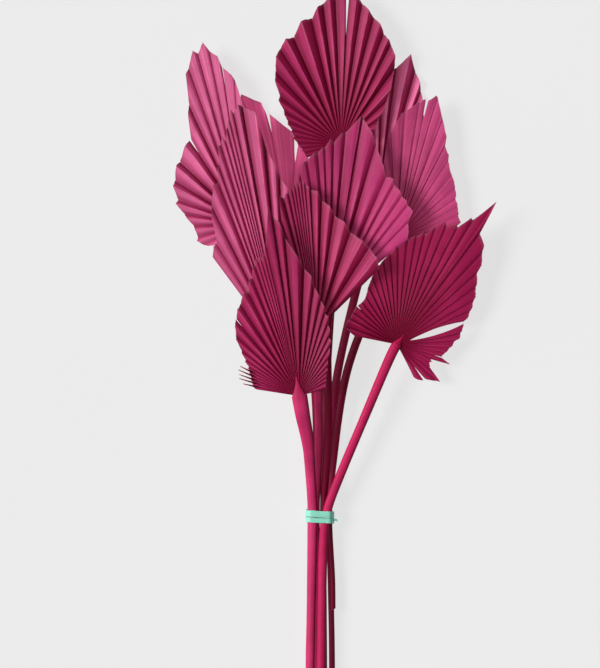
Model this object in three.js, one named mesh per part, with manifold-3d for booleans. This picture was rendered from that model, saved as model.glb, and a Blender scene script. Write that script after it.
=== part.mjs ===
// A tied bunch of ten dried, dyed fan palm leaves, laid down on a flat surface.
// Each leaf is one body: a pleated fan blade, trimmed to a spear, on its own stalk.
// Millimetres, +Z up. The stalks lie along Y with the blades towards +Y, and the surface is Z = 0.
import * as THREE from "three";
import { mergeVertices } from "three/addons/utils/BufferGeometryUtils.js";
import Module from "manifold-3d";

const wasm = await Module();
wasm.setup();

// The blades
const BLADE_THICKNESS = 0.9; // along the leaf's own Z, so about 0.7 square to a pleat's face
const FAN_START = 2.5; // radius inside the stalk's head at which the pleats begin
const RING_SHARES = [0, 0.35, 0.7, 1]; // rings of points along a fold, as shares of its length
const RIDGE_PLACE = 0.74; // where a ridge stands between the valleys on its left and right
const RIDGE_PROUD = 0.022; // how far a ridge's end passes the trimmed line, as a share of its length
const TRIM_WANDER = 0.018; // how unevenly the edge is trimmed, as a share of a fold's length
const SPLIT_DEPTH = 80; // more than a blade's whole height
const SWEEP_FULL = 45; // angle from the axis beyond which the folds sweep out by the whole sweep
const SWEEP_LIMIT = 150; // angle from the axis at which no fold can begin
const MIDRIB_ROUNDING = 12; // width over which the two halves of a blade turn into each other

// The stalks
const STALK_SIDES = 8;
const STALK_STEPS = 2; // straight stretches between two given points of a stalk's line
const HEAD_LENGTH = 75; // over which a stalk widens to its head
const HEAD_HEIGHT = 5.4; // just below the blade
const COSTA_LENGTH = 18; // the stalk's tapered end, which runs on into the blade
const COSTA_TIP = 1.2; // width and height of that end's tip
const APPROACH = 14; // length over which a stalk lines up with its blade
const TIED_LENGTH = 18; // stretch over which the stalks run straight through the tie
const END_DROP = 0.0094; // how far the stalks sink below the tie, for each mm of their length

// The tie, and the rows of stalks in it, from the lowest up
const TIE_WIDTH = 9.6;
const TIE_THICKNESS = 1.2;
const TIE_CLEARANCE = 0.3;
const TIE_ARC_STEPS = 4; // straight stretches round each corner of the tie
const ROWS = [
  { width: 4.8, height: 4.6, places: [-7.65, -2.55, 2.55, 7.65] },
  { width: 4.8, height: 4.6, places: [-7.65, -2.55, 2.55, 7.65] },
  { width: 7.2, height: 5.2, places: [-5.6, 5.2] },
];
const ROW_GAP = 0.35;

const UP = new THREE.Vector3(0, 0, 1);
const LEAF_ROUGHNESS = 0.55;
const TIE_COLOUR = 0x86d8bd;

// base: where the blade leaves its stalk.
// heading: the blade's axis, clockwise from +Y, seen from above. pitch: tip up. roll: right side down.
// cut: the trimmed edge from the left end of the fan to the right, as [angle from the axis, length].
// valleys: the angles of the valleys between the pleats, from the left end of the fan to the right.
// sweep: how far the left and the right folds sweep out near the stalk, in degrees.
// slopes: of the pleats at the fan's left end, middle and right end.
// wings: how far the left and right halves turn up, in degrees.
// splits: tears between two pleats, as [angle, share of the fold where it starts, gap at the edge].
// tied: the stalk's row and place in the tie. via: a point that the stalk passes on its way up.
// end: X and Y of the stalk's cut end. head: the stalk's width just below the blade.
const LEAVES = [
  {
    name: "leaf_top",
    colour: 0x9c2a5c,
    base: [16.8, 299, 15],
    heading: 1,
    pitch: 2,
    roll: 0,
    valleys: [-114, -106, -98, -90, -82, -75, -68, -61, -53, -43, -33.5, -25, -14, -8.2, -3, 1.6, 7.5,
      13.8, 20.5, 26, 35, 47, 58, 70],
    sweep: [95, 10],
    slopes: [0.8, 0.75, 0.75],
    wings: [3, 3],
    cut: [[-114, 29], [-88, 36], [-70, 46], [-54, 63], [-41, 84], [-32, 92], [-22, 98], [-8, 113],
      [1, 122], [7, 117], [19, 96], [29, 86], [36, 73], [48, 48], [70, 26]],
    splits: [[2, 0.72, 2.4]],
    tied: [0, 2],
    via: [4.9, 104, 7.6],
    end: [2.8, -150],
    head: 7.6,
  },
  {
    name: "leaf_front_left",
    colour: 0xa02a5e,
    base: [-16.4, 97, 42],
    heading: -9.4,
    pitch: 8,
    roll: 0,
    valleys: [-72, -68.5, -64.5, -61, -57.5, -54, -50.5, -46.5, -42, -36.5, -30, -23, -16.5, -12.2,
      -9.2, -7.6, -6, -4.4, -2.8, -1, 4.2, 11.5, 17, 22, 26.5, 31, 36, 41, 47, 53, 59, 65, 72, 84],
    sweep: [20, 45],
    slopes: [0.8, 0.7, 0.8],
    wings: [-4, -3],
    cut: [[-72, 36], [-48, 50], [-40, 65], [-34, 75], [-27, 84], [-14, 99], [-9, 113], [-4, 118],
      [0, 152], [4, 132], [6, 116], [14, 97], [21, 80], [30, 65], [40, 48], [60, 28], [84, 21]],
    splits: [],
    tied: [2, 0],
    via: [-9.8, 60, 29],
    end: [-8, -153],
    head: 12,
  },
  {
    name: "leaf_right",
    colour: 0x921b4e,
    base: [61.6, 138, 23],
    heading: 34.8,
    pitch: 1,
    roll: 12,
    valleys: [-113, -104, -95, -88, -81, -74.5, -68, -61, -55, -49.5, -44.5, -39.5, -34.5, -29.5, -25,
      -21, -17, -12.5, -7.5, -2.5, 3.5, 8.5, 14, 20, 26.5, 32, 38, 46, 53, 60, 66, 72.5, 79, 86, 94,
      102, 109, 117],
    sweep: [0, 20],
    slopes: [0.7, 0.45, 0.35],
    wings: [0, -3],
    cut: [[-113, 35], [-106, 44], [-87, 44], [-62, 50], [-43, 66], [-33, 81], [-20, 93], [-15, 104],
      [-7, 108], [-4, 117], [0, 135], [3, 111], [10, 99], [15, 84], [24, 74], [34, 64], [39, 57],
      [50, 51], [64, 41], [76, 45], [95, 47], [117, 31]],
    splits: [[38, 0.15, 6], [72.5, 0.6, 3], [79, 0.55, 3], [109, 0.5, 3]],
    tied: [2, 1],
    via: [37.4, 84, 20],
    end: [0.6, -162],
    head: 8,
  },
  {
    name: "leaf_centre",
    colour: 0x9a285a,
    base: [-2.4, 149.6, 37],
    heading: 0,
    pitch: 3,
    roll: 0,
    valleys: [-46, -37, -29, -23, -18, -14.2, -11.6, -9.9, -8.6, -7.2, -5.9, -4.6, -2.4, 2.2, 8.6, 19,
      32.5, 45.3],
    sweep: [0, 0],
    slopes: [0.9, 0.85, 0.6],
    wings: [0, 10],
    cut: [[-46, 30], [-27.4, 44], [-21, 77], [-16.2, 108], [-11.5, 112], [-6, 120], [-2, 112],
      [3.5, 102], [16, 85], [23, 81], [36, 77], [45.3, 69]],
    splits: [],
    tied: [1, 1],
    via: null,
    end: [-2.8, -158],
    head: 8.4,
  },
  {
    name: "leaf_middle",
    colour: 0xa03262,
    base: [8, 171, 26],
    heading: 9.4,
    pitch: 3,
    roll: 0,
    valleys: [-57, -49, -42, -36, -31, -26.5, -22.5, -18.5, -14, -11.2, -8, -4.2, 0.6, 6.8, 14.6, 19,
      24.5, 29, 34.5, 41],
    sweep: [0, 0],
    slopes: [0.9, 0.9, 0.35],
    wings: [0, 8],
    cut: [[-57, 17], [-36, 47], [-26, 86], [-22, 111], [-12, 123], [-3, 143], [0, 152], [7, 131],
      [15, 112], [32, 98], [41, 80]],
    splits: [],
    tied: [1, 2],
    via: null,
    end: [3.4, -146],
    head: 8,
  },
  {
    name: "leaf_left",
    colour: 0xac3f74,
    base: [-28, 130, 25],
    heading: -9.6,
    pitch: 2,
    roll: 0,
    valleys: [-27, -23.5, -20.8, -18, -14.8, -11.4, -9.6, -7.3, -5.9, -4.6, -3.4, -2.2, 0.6, 4.4, 8,
      12, 17, 23, 30],
    sweep: [0, 0],
    slopes: [0.8, 0.8, 0.8],
    wings: [-3, -6],
    cut: [[-27, 97], [-21, 108], [-17, 134], [-12, 150], [-9, 164], [-7, 177], [-2, 199], [0, 202],
      [3, 191], [5, 156], [9, 142], [13, 120], [20, 77], [30, 36]],
    splits: [],
    tied: [1, 0],
    via: [-15.2, 92, 18],
    end: [-8.4, -147],
    head: 8,
  },
  {
    name: "leaf_far_left",
    colour: 0xb04878,
    base: [-60, 234, 14],
    heading: -13,
    pitch: 1,
    roll: -4,
    valleys: [-115, -108, -101, -94, -86, -78.5, -71.5, -64.5, -54.5, -44, -31, -23, -12.2, -6.8, -2.4,
      1.5, 4.8, 9, 14, 19, 25, 34],
    sweep: [12, 0],
    slopes: [0.5, 0.8, 0.7],
    wings: [0, 0],
    cut: [[-115, 27], [-100, 43], [-88, 38], [-61, 56], [-50, 65], [-44, 69], [-30, 74], [-20, 82],
      [-15, 97], [-9, 124], [-5, 141], [0, 146], [4, 133], [9, 116], [12, 98], [19, 68], [34, 33]],
    splits: [[-20, 0.62, 2.6]],
    tied: [0, 0],
    via: [-14.4, 97, 8],
    end: [-8.6, -152],
    head: 7.6,
  },
  {
    name: "leaf_right_back",
    colour: 0xa53c6a,
    base: [61.6, 222, 15],
    heading: 15,
    pitch: 1,
    roll: 2,
    valleys: [-48, -42, -36, -30, -24.5, -18, -11.5, -5.5, -1.4, 2.6, 6, 12.3, 18, 25.5, 33.4, 40, 47,
      54, 62, 72, 84],
    sweep: [40, 0],
    slopes: [0.6, 0.4, 0.3],
    wings: [0, 0],
    cut: [[-48, 22], [-29, 49], [-21, 80], [-15, 98], [-10, 105], [-5, 112], [0, 120], [6, 102],
      [18, 76], [35, 61], [61, 52], [72, 36], [84, 20]],
    splits: [[-4, 0.8, 2]],
    tied: [1, 3],
    via: [21.6, 116, 12],
    end: [10.2, -75],
    head: 8,
  },
  {
    name: "leaf_far_right",
    colour: 0x8e2450,
    base: [46.4, 250, 3.4],
    heading: 12.4,
    pitch: 0,
    roll: 0,
    valleys: [-51, -42, -34, -27, -21, -15.5, -10, -4.5, 3.4, 8.5, 14.5, 22.4, 30, 39, 48, 58],
    sweep: [0, 0],
    slopes: [0.7, 0.8, 0.7],
    wings: [0, 0],
    cut: [[-51, 23], [-32, 47], [-17, 80], [-9, 100], [-5, 113], [0, 124], [6, 104], [11, 91],
      [25, 65], [39, 40], [58, 22]],
    splits: [],
    tied: [0, 3],
    via: [12.4, 104, 4.2],
    end: [9.8, -148],
    head: 7.6,
  },
  {
    name: "leaf_far_back",
    colour: 0xad3f72,
    base: [-23.2, 222, 3.4],
    heading: -14,
    pitch: 0,
    roll: 0,
    valleys: [-51, -40, -30, -21, -13, -6, 0, 5, 10, 15, 19, 25, 33, 43, 53, 63],
    sweep: [0, 0],
    slopes: [0.3, 0.3, 0.3],
    wings: [0, 0],
    cut: [[-51, 24], [-27, 53], [-14, 91], [-4, 129], [3, 108], [5, 101], [15, 88], [19, 79],
      [25, 69], [37, 44], [63, 21]],
    splits: [[4, 0.85, 2.4], [17, 0.78, 3.2]],
    tied: [0, 1],
    via: [-3.8, 100, 4],
    end: [-2.9, -155],
    head: 7.6,
  },
];

// Random numbers from 0 to 1 that are the same on each run.
function seededRandom(seed) {
  let state = seed;
  return () => {
    state = (state * 1664525 + 1013904223) % 4294967296;
    return state / 4294967296;
  };
}

// The value at share 0 to 1 of three values that stand at the left end, the middle and the right end.
function across([left, middle, right], share) {
  return share < 0.5
    ? THREE.MathUtils.lerp(left, middle, share * 2)
    : THREE.MathUtils.lerp(middle, right, share * 2 - 1);
}

// The length of a fold at an angle, up to the straight cut between the two corners beside it.
function trimmedLength(cut, angle) {
  const next = THREE.MathUtils.clamp(cut.findIndex(([a]) => a >= angle), 1, cut.length - 1);
  const [start, end] = [cut[next - 1], cut[next]].map(([a, length]) => {
    const turn = THREE.MathUtils.degToRad(a - angle);
    return new THREE.Vector2(length * Math.sin(turn), length * Math.cos(turn));
  });
  const share = THREE.MathUtils.clamp(start.x / (start.x - end.x), 0, 1);
  return THREE.MathUtils.lerp(start.y, end.y, share);
}

// The fold lines of a leaf from left to right: valley, ridge, valley and so on.
function foldLines(leaf, random) {
  const { cut, valleys } = leaf;
  const first = valleys[0];
  const last = valleys.at(-1);
  const reach = (i) => cut[i]?.[1] ?? 0;
  const corners = cut.filter((_, i) => reach(i) > reach(i - 1) && reach(i) > reach(i + 1));
  const widths = valleys.slice(1).map((angle, i) => angle - valleys[i]);
  const folds = [];
  const addFold = (angle, wide, side) => {
    const wander = 1 + TRIM_WANDER * (2 * random() - 1) + RIDGE_PROUD * side;
    const slope = side * across(leaf.slopes, (angle - first) / (last - first));
    folds.push({
      angle,
      length: trimmedLength(cut, angle) * wander,
      rise: (slope * THREE.MathUtils.degToRad(wide)) / 4, // for each mm of radius
    });
  };
  valleys.forEach((angle, i) => {
    const wide = widths[i] ?? widths[i - 1];
    addFold(angle, ((widths[i - 1] ?? wide) + wide) / 2, -1);
    if (i === valleys.length - 1) return;
    const corner = corners.find(([a]) => a > angle + 0.1 * wide && a < angle + 0.9 * wide);
    addFold(corner ? corner[0] : angle + wide * RIDGE_PLACE, wide, 1);
  });
  return folds;
}

// The angle of a fold at a share of its length, which sweeps out from the axis near the stalk.
function sweptAngle(leaf, { angle }, share) {
  const sweep = angle < 0 ? leaf.sweep[0] : leaf.sweep[1];
  const whole = Math.min(sweep * Math.min(1, Math.abs(angle) / SWEEP_FULL), SWEEP_LIMIT - Math.abs(angle));
  return angle + Math.sign(angle) * whole * (1 - share) ** 3;
}

// The blade's middle surface: a plane bent into the pleated fan, in the leaf's own frame:
// X to the right, Y along its axis and Z up.
function bladeSheet(leaf, folds) {
  const sheet = new THREE.PlaneGeometry(1, 1, folds.length - 1, RING_SHARES.length - 1);
  const position = sheet.attributes.position;
  for (let i = 0; i < position.count; i++) {
    const fold = folds[Math.round((position.getX(i) + 0.5) * (folds.length - 1))];
    const ring = Math.round((position.getY(i) + 0.5) * (RING_SHARES.length - 1));
    const radius = THREE.MathUtils.lerp(FAN_START, fold.length, RING_SHARES[ring]);
    const turn = THREE.MathUtils.degToRad(sweptAngle(leaf, fold, RING_SHARES[ring]));
    const x = radius * Math.sin(turn);
    const wing = Math.tan(THREE.MathUtils.degToRad(x < 0 ? leaf.wings[0] : leaf.wings[1]));
    const aside = Math.hypot(x, MIDRIB_ROUNDING) - MIDRIB_ROUNDING;
    position.setXYZ(i, x, radius * Math.cos(turn), fold.rise * radius + wing * aside);
  }
  return sheet;
}

// A closed solid from a sheet: an upper and a lower copy with alike triangles, and walls round the edges.
function thicken(sheet) {
  const middle = sheet.attributes.position.array;
  const count = sheet.attributes.position.count;
  const half = (_, i) => (i % 3 === 2 ? BLADE_THICKNESS / 2 : 0);
  const points = [...middle.map((v, i) => v + half(v, i)), ...middle.map((v, i) => v - half(v, i))];
  const faces = [];
  const edges = new Map();
  for (let i = 0; i < sheet.index.count; i += 3) {
    const [a, b, c] = sheet.index.array.slice(i, i + 3);
    faces.push(a, b, c, a + count, c + count, b + count);
    [[a, b], [b, c], [c, a]].forEach((edge) => edges.set(edge.join(), edge));
  }
  for (const [a, b] of edges.values()) {
    if (!edges.has(`${b},${a}`)) faces.push(b, a, a + count, b, a + count, b + count);
  }
  return solid(new Float32Array(points), new Uint32Array(faces));
}

// The wedge of air in a split, which follows the valley nearest to the split's angle.
function splitWedge([angle, start, gap], folds) {
  const distance = (fold) => Math.abs(fold.angle - angle);
  const valleys = folds.filter((_, i) => i % 2 === 0);
  const valley = valleys.reduce((best, fold) => (distance(fold) < distance(best) ? fold : best));
  const shape = new THREE.Shape();
  shape.moveTo(0, valley.length * start);
  shape.lineTo(gap, valley.length * (2 - start));
  shape.lineTo(-gap, valley.length * (2 - start));
  const geometry = new THREE.ExtrudeGeometry(shape, { depth: SPLIT_DEPTH, bevelEnabled: false });
  geometry.translate(0, 0, -SPLIT_DEPTH / 2);
  geometry.rotateZ(-THREE.MathUtils.degToRad(valley.angle));
  return solidOf(geometry);
}

function solid(vertProperties, triVerts) {
  return new wasm.Manifold(new wasm.Mesh({ numProp: 3, vertProperties, triVerts }));
}

// A manifold-3d solid from a three.js geometry.
function solidOf(geometry) {
  geometry.deleteAttribute("normal");
  geometry.deleteAttribute("uv");
  const merged = mergeVertices(geometry, 1e-4);
  return solid(new Float32Array(merged.attributes.position.array), new Uint32Array(merged.index.array));
}

function geometryOf(made) {
  const mesh = made.getMesh();
  const geometry = new THREE.BufferGeometry();
  geometry.setAttribute("position", new THREE.BufferAttribute(mesh.vertProperties, 3));
  geometry.setIndex(new THREE.BufferAttribute(mesh.triVerts, 1));
  geometry.computeVertexNormals();
  return geometry;
}

// The height of the middle of a row of stalks in the tie.
function rowHeight(row) {
  const below = ROWS.slice(0, row).reduce((sum, { height }) => sum + height + ROW_GAP, 0);
  return TIE_THICKNESS + TIE_CLEARANCE + below + ROWS[row].height / 2;
}

// A stalk's centre line in the bunch, from its cut end up to the tip of the costa.
function stalkLine(leaf, frame) {
  const [row, place] = leaf.tied;
  const x = ROWS[row].places[place];
  const z = rowHeight(row);
  const [endX, endY] = leaf.end;
  const endZ = z + endY * END_DROP;
  const points = [
    new THREE.Vector3(endX, endY, endZ),
    new THREE.Vector3(THREE.MathUtils.lerp(endX, x, 0.1), endY * 0.7, z + endY * END_DROP * 0.7),
    new THREE.Vector3(x, -TIED_LENGTH / 2, z),
    new THREE.Vector3(x, 0, z),
    new THREE.Vector3(x, TIED_LENGTH / 2, z),
    ...(leaf.via ? [new THREE.Vector3(...leaf.via)] : []),
    new THREE.Vector3(0, -APPROACH, 0).applyMatrix4(frame),
    new THREE.Vector3(0, 0, 0).applyMatrix4(frame),
    new THREE.Vector3(0, COSTA_LENGTH, 0.5).applyMatrix4(frame),
  ];
  return new THREE.CatmullRomCurve3(points, false, "centripetal");
}

// A stalk's width and height at a distance from its blade, where less than 0 is in the blade.
function stalkSize(leaf, distance) {
  const low = ROWS[leaf.tied[0]];
  const toHead = THREE.MathUtils.smoothstep(HEAD_LENGTH - distance, 0, HEAD_LENGTH);
  const width = THREE.MathUtils.lerp(low.width, leaf.head, toHead);
  const height = THREE.MathUtils.lerp(low.height, HEAD_HEIGHT, toHead);
  const taper = THREE.MathUtils.clamp(1 + distance / COSTA_LENGTH, 0, 1);
  return [width, height].map((size) => THREE.MathUtils.lerp(COSTA_TIP, size, taper));
}

// A stalk: a cylinder bent along its line, with a flat side down, given in the leaf's own frame.
function stalkSolid(leaf, frame) {
  const line = stalkLine(leaf, frame);
  const steps = STALK_STEPS * (line.points.length - 1);
  const halfSide = Math.PI / STALK_SIDES;
  const geometry = new THREE.CylinderGeometry(1, 1, 1, STALK_SIDES, steps, false, halfSide);
  const toFlat = 1 / Math.cos(halfSide);
  const inverse = frame.clone().invert();
  const position = geometry.attributes.position;
  for (let i = 0; i < position.count; i++) {
    const share = position.getY(i) + 0.5;
    const along = line.getTangent(share).transformDirection(inverse);
    const centre = line.getPoint(share).applyMatrix4(inverse);
    const [width, height] = stalkSize(leaf, -centre.y);
    const toBlade = THREE.MathUtils.smoothstep(share, 0.7, 1);
    const level = UP.clone().transformDirection(inverse).lerp(UP, toBlade);
    const aside = new THREE.Vector3().crossVectors(along, level).normalize();
    const up = new THREE.Vector3().crossVectors(aside, along);
    centre.addScaledVector(aside, (position.getX(i) * width * toFlat) / 2);
    centre.addScaledVector(up, (position.getZ(i) * height * toFlat) / 2);
    position.setXYZ(i, centre.x, centre.y, centre.z);
  }
  return solidOf(geometry);
}

function leafMesh(leaf) {
  const finish = { color: leaf.colour, roughness: LEAF_ROUGHNESS, metalness: 0 };
  const mesh = new THREE.Mesh(undefined, new THREE.MeshStandardMaterial(finish));
  const folds = foldLines(leaf, seededRandom(leaf.name.length * 7919 + leaf.valleys.length));
  const sheet = bladeSheet(leaf, folds);
  const [pitch, roll, heading] = [leaf.pitch, leaf.roll, -leaf.heading].map(THREE.MathUtils.degToRad);
  mesh.name = leaf.name;
  mesh.rotation.set(pitch, roll, heading, "ZXY");
  mesh.position.set(...leaf.base);
  mesh.updateMatrix();
  const whole = thicken(sheet);
  const blade = leaf.splits.reduce((made, split) => made.subtract(splitWedge(split, folds)), whole);
  mesh.geometry = geometryOf(blade.add(stalkSolid(leaf, mesh.matrix)));
  return mesh;
}

// An outline round the outer stalks of the tie, at a distance from their skins, in X and Z.
function tieOutline(distance) {
  const reach = ROWS[0].height / 2 + distance;
  const corner = (row, side) => {
    const halfWidth = Math.abs(ROWS[row].places.at(side)) + ROWS[row].width / 2;
    const lift = row ? (ROWS[row].height - ROWS[0].height) / 2 : 0;
    return new THREE.Vector2((halfWidth - ROWS[0].height / 2) * (side ? 1 : -1), rowHeight(row) + lift);
  };
  const corners = ROWS.map((_, row) => corner(row, -1));
  corners.push(...ROWS.map((_, row) => corner(row, 0)).reverse());
  const outline = [];
  corners.forEach((point, i) => {
    const before = corners.at(i - 1);
    const after = corners[(i + 1) % corners.length];
    const start = Math.atan2(point.y - before.y, point.x - before.x) - Math.PI / 2;
    const end = Math.atan2(after.y - point.y, after.x - point.x) - Math.PI / 2;
    const turn = THREE.MathUtils.euclideanModulo(end - start, 2 * Math.PI);
    for (let step = 0; step <= TIE_ARC_STEPS; step++) {
      const angle = start + (turn * step) / TIE_ARC_STEPS;
      const aside = new THREE.Vector2(Math.cos(angle), Math.sin(angle));
      outline.push(aside.multiplyScalar(reach).add(point));
    }
  });
  return outline;
}

function tieMesh() {
  const shape = new THREE.Shape(tieOutline(TIE_CLEARANCE + TIE_THICKNESS));
  shape.holes.push(new THREE.Path(tieOutline(TIE_CLEARANCE)));
  const geometry = new THREE.ExtrudeGeometry(shape, { depth: TIE_WIDTH, bevelEnabled: false });
  const material = new THREE.MeshStandardMaterial({ color: TIE_COLOUR, roughness: 0.6, metalness: 0 });
  const mesh = new THREE.Mesh(geometry, material);
  mesh.name = "tie_band";
  mesh.rotation.x = Math.PI / 2;
  mesh.position.y = TIE_WIDTH / 2;
  return mesh;
}

const bunch = new THREE.Group();
bunch.add(...LEAVES.map(leafMesh), tieMesh());

// The bunch's own frame has its origin on the surface, under the middle of the bunch.
const palmBunch = new THREE.Group();
palmBunch.add(bunch);
const box = new THREE.Box3().setFromObject(bunch, true);
bunch.position.set(-(box.min.x + box.max.x) / 2, -(box.min.y + box.max.y) / 2, -box.min.z);

export default palmBunch;
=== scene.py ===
# A tied bunch of ten dried, dyed fan palm leaves, lying on a pale floor and seen from straight above.
import math

import bmesh
import bpy
from mathutils import Matrix, Vector, noise


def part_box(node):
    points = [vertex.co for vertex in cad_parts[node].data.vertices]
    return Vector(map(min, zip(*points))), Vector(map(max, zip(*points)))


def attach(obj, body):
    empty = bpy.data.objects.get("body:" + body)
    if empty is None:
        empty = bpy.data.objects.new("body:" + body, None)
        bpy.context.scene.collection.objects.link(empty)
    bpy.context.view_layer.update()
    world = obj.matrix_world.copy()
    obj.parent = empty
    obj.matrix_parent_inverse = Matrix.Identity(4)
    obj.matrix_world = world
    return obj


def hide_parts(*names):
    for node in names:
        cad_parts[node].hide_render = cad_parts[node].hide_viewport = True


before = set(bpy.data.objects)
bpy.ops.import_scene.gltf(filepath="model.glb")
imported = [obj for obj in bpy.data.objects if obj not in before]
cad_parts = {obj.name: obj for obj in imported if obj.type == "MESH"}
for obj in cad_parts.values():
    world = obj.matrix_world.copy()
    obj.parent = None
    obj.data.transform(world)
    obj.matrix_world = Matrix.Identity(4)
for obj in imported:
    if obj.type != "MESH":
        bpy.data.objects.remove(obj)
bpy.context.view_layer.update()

# Sizes are in millimetres in the bunch's working frame, whose origin is under the middle of the tie.
# Each mesh is scaled to metres and moved to its place when it is finished.
MM = 0.001
tie_low, tie_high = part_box("tie_band")
PLACE = Matrix.Translation(((tie_low[0] + tie_high[0]) / 2, (tie_low[1] + tie_high[1]) / 2, tie_low[2]))
PLACE = PLACE @ Matrix.Diagonal((MM, MM, MM, 1))

# The blades
SHEET_THICKNESS = 0.5
FAN_START = 2.5  # radius inside the stalk's head at which the pleats begin
RINGS = 40  # rings of faces from the stalk's head to the trimmed edge
FACE_STRIPS = (0, 0.07, 0.36, 0.66, 0.93)  # where the strips of a pleat's face begin, as shares of it
RIDGE_SNAP = (0.5, 0.9)  # shares of a pleat between which its ridge moves to a corner of the edge
RIDGE_PROUD = 0.022  # how far a ridge's end passes the trimmed line, as a share of its length
TRIM_WANDER = 0.018  # how unevenly the folds are trimmed, as a share of their length
TRIM_ROUGHNESS = 0.35  # how rough the scissor cut is
TRIM_ROUGH_START = 0.9  # share of a fold from which that roughness grows
DEPTH_WANDER = 0.2  # how unevenly deep the pleats are, as a share of their depth
FLATTEN_START = 0.3  # share of a fold from which its pleats flatten
MIDRIB_ROUNDING = 12  # width over which the two halves of a blade turn into each other
NICK_CHANCE = 0.045  # of a short tear in the edge at a valley
NICK_START = (0.86, 0.95)
NICK_GAP = (0.4, 1.1)
TEAR_REACH = 3  # folds beside a tear that are pushed aside by it
TEAR_LIFT = 0.35  # how far the sides of a tear lift and drop, as a share of its gap
WARP_HEIGHT = 1.4  # of the slow waves in the dried blades
WARP_LENGTH = 55
WARP_START, WARP_FULL = 60, 140  # along the bunch
BRISTLE_RADII = (0.9, 0.3)  # of a bristle at its root and its tip
BRISTLE_LIFT = 0.4
SEED_STEP = 7919  # between the random draws of leaves whose names differ in length
FULL_SLOPE = 0.7  # FULL_SLOPE = 0.7 # of pleats whose valleys and right sides take all of their painted shade

# The stalks
STALK_SIDES = 24
STALK_STEPS = 14  # rings between two given points of a stalk's line
BODY = (6.6, 5)  # width and height of a thin stalk above the tie
BODY_STRETCH = (10, 60)  # heights above the tie's middle between which it comes to that
HEAD_LENGTH = 75  # over which a stalk widens to its head
HEAD_HEIGHT = 5.4
COSTA = (11, 1.2)  # length of the stalk's tapered end in the blade, and its depth under the pleats' middle
COSTA_TIP = 1.2
COSTA_TAPER = 1.6  # how hollow its taper is
BLADE_SHADE_STRETCH = (-8, 8)  # stretch, along the blade's axis, over which painted shade deepens a stalk's colour under its blade
APPROACH = 14  # length over which a stalk lines up with its blade
TIED_LENGTH = 18  # stretch over which the stalks run straight through the tie
END_DROP = 0.0094  # how far the stalks sink below the tie, for each mm of their length
END_SLANT = 0.6  # rise of the slanting cut at a stalk's end, for each mm across it
CUT_STRETCH = 0.5  # part of the stalk's first stretch that is drawn along by that cut
LOWER_POINT = 0.7  # share of the way down to a stalk's end where it has nearly come to its place there
LOWER_DRIFT = 0.1  # share of its way aside that is then left
TURN_UP_START = 0.7  # share of a stalk's line from which it turns with its blade
LINE_STEP = 0.002  # share of a line over which its direction is taken
STALK_FLATTENING = 0.05  # of a stalk's upper side
STALK_WANDER = 0.035  # how uneven a stalk's skin is, as a share of its width
WANDER_LENGTH = 25  # of that unevenness along the stalk

# The tie, and the rows of stalks in it, from the lowest up
TIE_THICKNESS = 1.2
TIE_CLEARANCE = 0.3
ROWS = (
    {"width": 4.8, "height": 4.6, "places": (-7.65, -2.55, 2.55, 7.65)},
    {"width": 4.8, "height": 4.6, "places": (-7.65, -2.55, 2.55, 7.65)},
    {"width": 7.2, "height": 5.2, "places": (-5.6, 5.2)},
)
ROW_GAP = 0.35
TURNS = ((2.05, 5.3), (-2.85, 3.9))  # middle and width of each turn of the band
TURN_SLANT = -0.06
TURN_STEPS = 160
TURN_SIDES = 16
TURN_FULLNESS = 0.5  # how full the band's section is: 1 is an ellipse, and less comes nearer to a box
TURN_SWAY, SWAY_RATE = 0.35, 1.3  # how far and how often a turn strays along the stalks
TURN_NARROWING, NARROWING_RATE = 0.12, 2.1  # how much and how often its width changes
TAIL_LINE = ((10.9, -2.6, 9), (13.2, -2.2, 10), (14.2, -3.6, 11.5))  # root, bend and tip of the loose end
TAIL_WIDTH = 2.2
TAIL_CUTS = 6
TAIL_TAPER = 0.45  # share of its width that it loses up to its tip
TAIL_BLUNTNESS = 8  # how late its ends round off
TAIL_END = 0.15  # square of the share of its width that is left at its ends
TAIL_SMOOTHING = 0.4

# The camera's frame on the floor, and the height at which that frame is true to size
VIEW_CENTRE = (-16, 146.4)
VIEW_HEIGHT = 534.4
VIEW_LEVEL = 20
CAMERA_DISTANCE = 4000
SENSOR = 36
CLIP_END = 50  # metres
FLOOR_REACH = 6  # metres from the middle of the floor to its sides

# The light: which way it travels, and how strong it is
SIDE_TRAVEL = (1, -0.15, -1)
TOP_TRAVEL = (0.2, 0, -1)
KEY_ENERGY = 2.4
SIDE_ENERGY = 1.4
TOP_ENERGY = 0.5
LIGHT_SPREAD = 24  # degrees
ROOM_STRENGTH = 0.05
FLOOR_GLOW = 0.64

# The dyes, as they reflect a white light, and how much painted shade deepens them in the valleys between
# steep pleats and on the right sides of steep pleats
DYES_AND_PAINTED_SHADES = {
    "magenta": ((0.45, 0.027, 0.128), 0.9, 0.9),
    "wine": ((0.41, 0.012, 0.090), 0.7, 0.6),
    "rose": ((0.58, 0.042, 0.195), 0.9, 0.9),
    "pink": ((0.67, 0.112, 0.275), 1, 1),
    "pale": ((0.72, 0.135, 0.310), 1, 1),
    "soft": ((0.54, 0.057, 0.190), 0.25, 0.15),
    "blush": ((0.95, 0.125, 0.350), 0.4, 0.3),
}
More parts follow.
